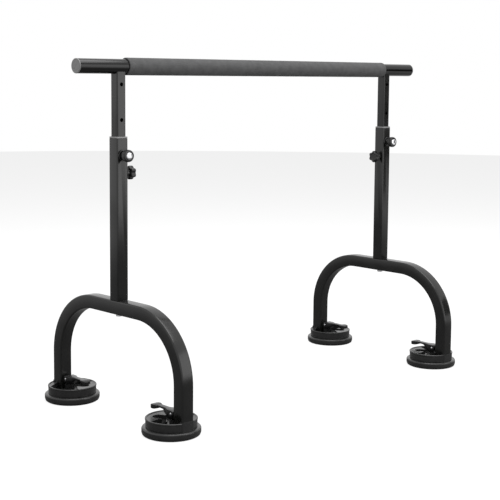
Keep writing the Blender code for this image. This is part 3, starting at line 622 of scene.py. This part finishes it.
def sidePiece(points, halfWidth):
    # an outline in the foot's YZ plane, pushed both ways along X
    piece = slabPiece(points, 2 * halfWidth)
    return place3d(piece, (0, 0, 0), (0, 0, math.radians(90)))


def makePaddle():
    # a flattened block drawn out along the arm, fullest in its middle
    clearPick()
    mid = lever["paddleMiddle"]
    start = lever["paddleStart"]
    length = lever["paddleEnd"] - start
    width, thickness = 0.0136, 0.0062
    bpy.ops.mesh.primitive_cube_add(size=1, location=(0, start + 0.0005, mid), scale=(width, 0.001, thickness))
    paddle = bpy.context.active_object
    bpy.ops.object.transform_apply(location=True, rotation=True, scale=True)
    openPiece(paddle)
    pick(paddle, "FACE", lambda f: f.normal.y > 0.9)
    for share, wide, thick in ((0.12, 0.0180, 0.0080), (0.28, 0.0212, 0.0094), (0.50, 0.0220, 0.0098),
                               (0.72, 0.0212, 0.0095), (0.90, 0.0180, 0.0082), (1.0, 0.0128, 0.0060)):
        y = start + length * share
        z = mid + lever["droop"] * (0.5 - share)
        here = [f for f in bmesh.from_edit_mesh(paddle.data).faces if f.select][0].calc_center_median()
        bpy.ops.mesh.extrude_region_move(TRANSFORM_OT_translate={"value": (0, y - here.y, z - here.z)})
        bpy.ops.transform.resize(value=(wide / width, 1, thick / thickness), center_override=(0, y, z))
        width, thickness = wide, thick
    bpy.ops.object.mode_set(mode="OBJECT")
    useModifier(paddle, "BEVEL", width=0.0034, segments=4, limit_method="ANGLE", angle_limit=math.radians(50))
    return paddle


def makeLever():
    rate = lever["drop"] / math.radians(lever["lift"])
    outline = []
    for i in range(25):
        angle = math.radians(lever["lift"]) * i / 24
        height = foot["pinHeight"] - foot["ledge"] - 0.0003 - rate * angle
        outline.append((-height * math.sin(angle) + rate * math.cos(angle),
                        -height * math.cos(angle) - rate * math.sin(angle)))
    back = outline[-1]
    top = lever["armTop"]
    low = top - lever["armThickness"]
    end = lever["paddleStart"] + 0.004
    corners = [(back[0] - 0.0004, back[1] + 0.0030, 0), (back[0], 0.0028, 0.002), (back[0] + 0.0020, 0.0056, 0.002),
               (-0.0022, top, 0.003), (end, top + 0.0003, 0), (end, low + 0.0006, 0), (0.0340, low, 0.008),
               (0.0175, -0.0070, 0.004), (0.0125, -0.0106, 0.002), (0.0070, -0.0120, 0.002), outline[0] + (0,)]
    body = sidePiece(outline + softLine(corners)[:-1], lever["cheekOuter"])
    near, far = lever["armWidth"] / 2, lever["cheekOuter"] + 0.001
    for sign in (-1, 1):
        corners = [(far, end + 0.002, 0), (far, lever["hubFront"], 0), (near, lever["armStart"], 0.010),
                   (near, end + 0.002, 0)]
        carve(body, [standUp([(sign * x, y) for x, y in softLine(corners)], -0.030, 0.030)])
    useModifier(body, "BEVEL", width=0.0009, segments=3, limit_method="ANGLE", angle_limit=math.radians(40))
    paddle = makePaddle()
    carve(body, [paddle], "UNION")
    slotStart = -math.degrees(math.acos(lever["shankRoom"] / lever["eyeRoom"]))
    line = [(-0.030, -0.030), (lever["shankRoom"], -0.030)] + arcPoints(0, 0, lever["eyeRoom"], slotStart, 90, 20)
    line += [(-0.030, lever["eyeRoom"])]
    slot = sidePiece(line, lever["cheekInner"])
    hole = roundBar(lever["pinRadius"] + 0.0003, -0.02, 0.02, 40, (0, 0, 0), (0, math.radians(90), 0))
    carve(body, [slot, hole])
    return place3d(body, (0, -foot["rodOffset"], foot["pinHeight"]))


leverPiece = makeLever()
print("lever:", len(leverPiece.data.vertices))

half = lever["cheekOuter"] + 0.0012
line = softLine([(0, -half - 0.0004, 0), (0.0016, -half - 0.0003, 0.0006),
                 (lever["pinRadius"], -half + 0.0008, 0.0005), (lever["pinRadius"], half - 0.0008, 0.0005),
                 (0.0016, half + 0.0003, 0.0006), (0, half + 0.0004, 0)])
leverPinPiece = place3d(turnPiece(line, 48), (0, -foot["rodOffset"], foot["pinHeight"]), (0, math.radians(90), 0))

for side, sign in sideSigns.items():
    for end, ySign in endSigns.items():
        label = side + "_" + end
        place = (sign * stand["halfSpacing"], ySign * stand["cupY"], 0)
        turn = (0, 0, 0 if end == "front" else math.pi)
        for master, name, body, finish, slotName, node, angle in (
                (cupPiece, "suctionCup_", "base", "softRubber", "black_rubber", "suction_cup_", 40),
                (coverPiece, "footCover_", "base", "footMoulding", "black_plastic", "cup_cover_", 35),
                (leverPiece, "footLever_", "cup_lever_" + label, "satinBlackMoulding", "black_plastic",
                 "cup_lever_", 40),
                (leverPinPiece, "pivotPin_", "cup_lever_" + label, "zincSteel", "steel", "lever_pin_", 35)):
            piece = copyPiece(master, name + label, place, turn)
            settle(piece, name + label, angle)
            hand(piece, body, finish, slotName, node + label)
for master in (cupPiece, coverPiece, leverPiece, leverPinPiece):
    bpy.data.objects.remove(master, do_unlink=True)
print("feet done")


# Solids that are shown as they are

kept = {"pull_pin_": "zincSteel", "pin_spring_": "zincSteel", "clamp_screw_": "zincSteel",
        "pressure_pad_": "greyMoulding", "post_spigot_": "zincSteel", "post_bolt_": "zincSteel",
        "pull_rod_": "zincSteel", "leg_plug_": "satinBlackMoulding"}
for name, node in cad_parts.items():
    for start, finish in kept.items():
        if name.startswith(start) and not node.hide_render:
            node.data.materials.clear()
            node.data.materials.append(finishes[finish])


# Studio

# the floor's colour is painted shade near the stand: the stand's gloss mirrors it and takes less bounce from it. It
# eases to its own pale tone between the near and far rings. The lifts are a glow seen only by the camera, which makes
# the whole floor read white.
studio = {"floor": 9.0, "ambient": 0.70, "near": 0.9, "far": 2.8, "nearTone": 0.20, "farTone": 0.88,
          "nearLift": 0.86, "farLift": 0.25}
clearPick()
bpy.ops.mesh.primitive_circle_add(vertices=96, radius=studio["floor"], fill_type="NGON", location=(0, 0, 0))
floor = bpy.context.active_object
floor.name = "studioFloor"
floorPaint = bpy.data.materials.new("studioFloor")
floorPaint.use_nodes = True
nodes = floorPaint.node_tree.nodes
links = floorPaint.node_tree.links
shader = nodes["Principled BSDF"]
shader.inputs["Roughness"].default_value = 1.0
shader.inputs["Specular IOR Level"].default_value = 0.0


def softStep(source, edges, near, far):
    # a value that eases from near to far as the source passes between two edges
    ramp = nodes.new("ShaderNodeMapRange")
    ramp.interpolation_type = "SMOOTHSTEP"
    ramp.inputs["From Min"].default_value = edges[0]
    ramp.inputs["From Max"].default_value = edges[1]
    ramp.inputs["To Min"].default_value = near
    ramp.inputs["To Max"].default_value = far
    links.new(source, ramp.inputs["Value"])
    return ramp.outputs["Result"]


def mathNode(operation, first, second):
    node = nodes.new("ShaderNodeMath")
    node.operation = operation
    links.new(first, node.inputs[0])
    links.new(second, node.inputs[1])
    return node.outputs[0]


# painted shade: the floor is dark within the near ring and eases to the far tone by the far ring, so the stand
# mirrors a darkened floor. The camera-ray glow is stronger near the stand and hides this darkening from the camera.
spot = nodes.new("ShaderNodeTexCoord")
reach = nodes.new("ShaderNodeVectorMath")
reach.operation = "LENGTH"
links.new(spot.outputs["Object"], reach.inputs[0])
rings = (studio["near"], studio["far"])
path = nodes.new("ShaderNodeLightPath")
links.new(softStep(reach.outputs["Value"], rings, studio["nearTone"], studio["farTone"]), shader.inputs["Base Color"])
glow = nodes.new("ShaderNodeEmission")
lift = softStep(reach.outputs["Value"], rings, studio["nearLift"], studio["farLift"])
links.new(mathNode("MULTIPLY", path.outputs["Is Camera Ray"], lift), glow.inputs["Strength"])
both = nodes.new("ShaderNodeAddShader")
links.new(shader.outputs[0], both.inputs[0])
links.new(glow.outputs[0], both.inputs[1])
links.new(both.outputs[0], nodes["Material Output"].inputs["Surface"])
floor.data.materials.append(floorPaint)

# a dark card off to the right, seen only in what the gloss mirrors
cardSet = {"place": (2.45, -1.75, 0.75), "heading": 54, "size": 1.5, "tone": 0.02, "roughness": 0.9}
clearPick()
bpy.ops.mesh.primitive_plane_add(size=1, location=cardSet["place"],
                                 rotation=(math.radians(90), 0, math.radians(cardSet["heading"])),
                                 scale=(cardSet["size"], cardSet["size"], 1))
card = bpy.context.active_object
card.name = "sideCard"
cardPaint = bpy.data.materials.new("sideCard")
cardPaint.use_nodes = True
shader = cardPaint.node_tree.nodes["Principled BSDF"]
shader.inputs["Base Color"].default_value = (cardSet["tone"], cardSet["tone"], cardSet["tone"], 1)
shader.inputs["Roughness"].default_value = cardSet["roughness"]
card.data.materials.append(cardPaint)
card.visible_camera = False
card.visible_shadow = False
card.visible_diffuse = False

# the white backdrop is the world's own colour, the same for what the camera sees and what is mirrored
world = bpy.data.worlds.new("studioWorld")
bpy.context.scene.world = world
world.use_nodes = True
nodes = world.node_tree.nodes
links = world.node_tree.links
background = nodes["Background"]
background.inputs["Color"].default_value = (1, 1, 1, 1)
path = nodes.new("ShaderNodeLightPath")
shown = nodes.new("ShaderNodeMath")
shown.operation = "MAXIMUM"
links.new(path.outputs["Is Camera Ray"], shown.inputs[0])
links.new(path.outputs["Is Glossy Ray"], shown.inputs[1])
level = nodes.new("ShaderNodeMapRange")
level.inputs["To Min"].default_value = studio["ambient"]
level.inputs["To Max"].default_value = 1.0
links.new(shown.outputs[0], level.inputs["Value"])
links.new(level.outputs["Result"], background.inputs["Strength"])

lamps = (("topLamp", (0.0, -0.6, 3.0), (0.0, 0.0, 0.35), 2.6, 2.6, 60),
         ("frontPanel", (1.3, -2.7, 0.95), (-0.2, 0.0, 0.5), 2.2, 1.8, 14))
for name, place, target, width, height, power in lamps:
    clearPick()
    bpy.ops.object.light_add(type="AREA", location=place)
    lamp = bpy.context.active_object
    lamp.name = name
    lamp.data.shape = "RECTANGLE"
    lamp.data.size = width
    lamp.data.size_y = height
    lamp.data.energy = power
    lamp.rotation_euler = (Vector(target) - Vector(place)).to_track_quat("-Z", "Y").to_euler()

view = {"place": (-2.0422, -2.0704, 0.7739), "yaw": 43.9, "pitch": 6.02, "roll": 0.47, "sensor": 36.0,
        "focal": 1164.8 / 500, "shiftY": -(250 - 198.08) / 500}
yaw, pitch, roll = (math.radians(view[k]) for k in ("yaw", "pitch", "roll"))
ahead = Vector((math.sin(yaw) * math.cos(pitch), math.cos(yaw) * math.cos(pitch), -math.sin(pitch)))
right = Vector((math.cos(yaw), -math.sin(yaw), 0))
up = right.cross(ahead)
rolledRight = right * math.cos(roll) + up * math.sin(roll)
rolledUp = up * math.cos(roll) - right * math.sin(roll)
clearPick()
bpy.ops.object.camera_add(location=view["place"])
camera = bpy.context.active_object
camera.name = "photoCamera"
camera.rotation_euler = Matrix((rolledRight, rolledUp, -ahead)).transposed().to_euler()
camera.data.sensor_width = view["sensor"]
camera.data.lens = view["sensor"] * view["focal"]
camera.data.shift_y = view["shiftY"]
camera.data.clip_start = 0.05
camera.data.clip_end = 60.0
bpy.context.scene.camera = camera
bpy.context.scene.view_settings.view_transform = "Standard"
print("studio done")
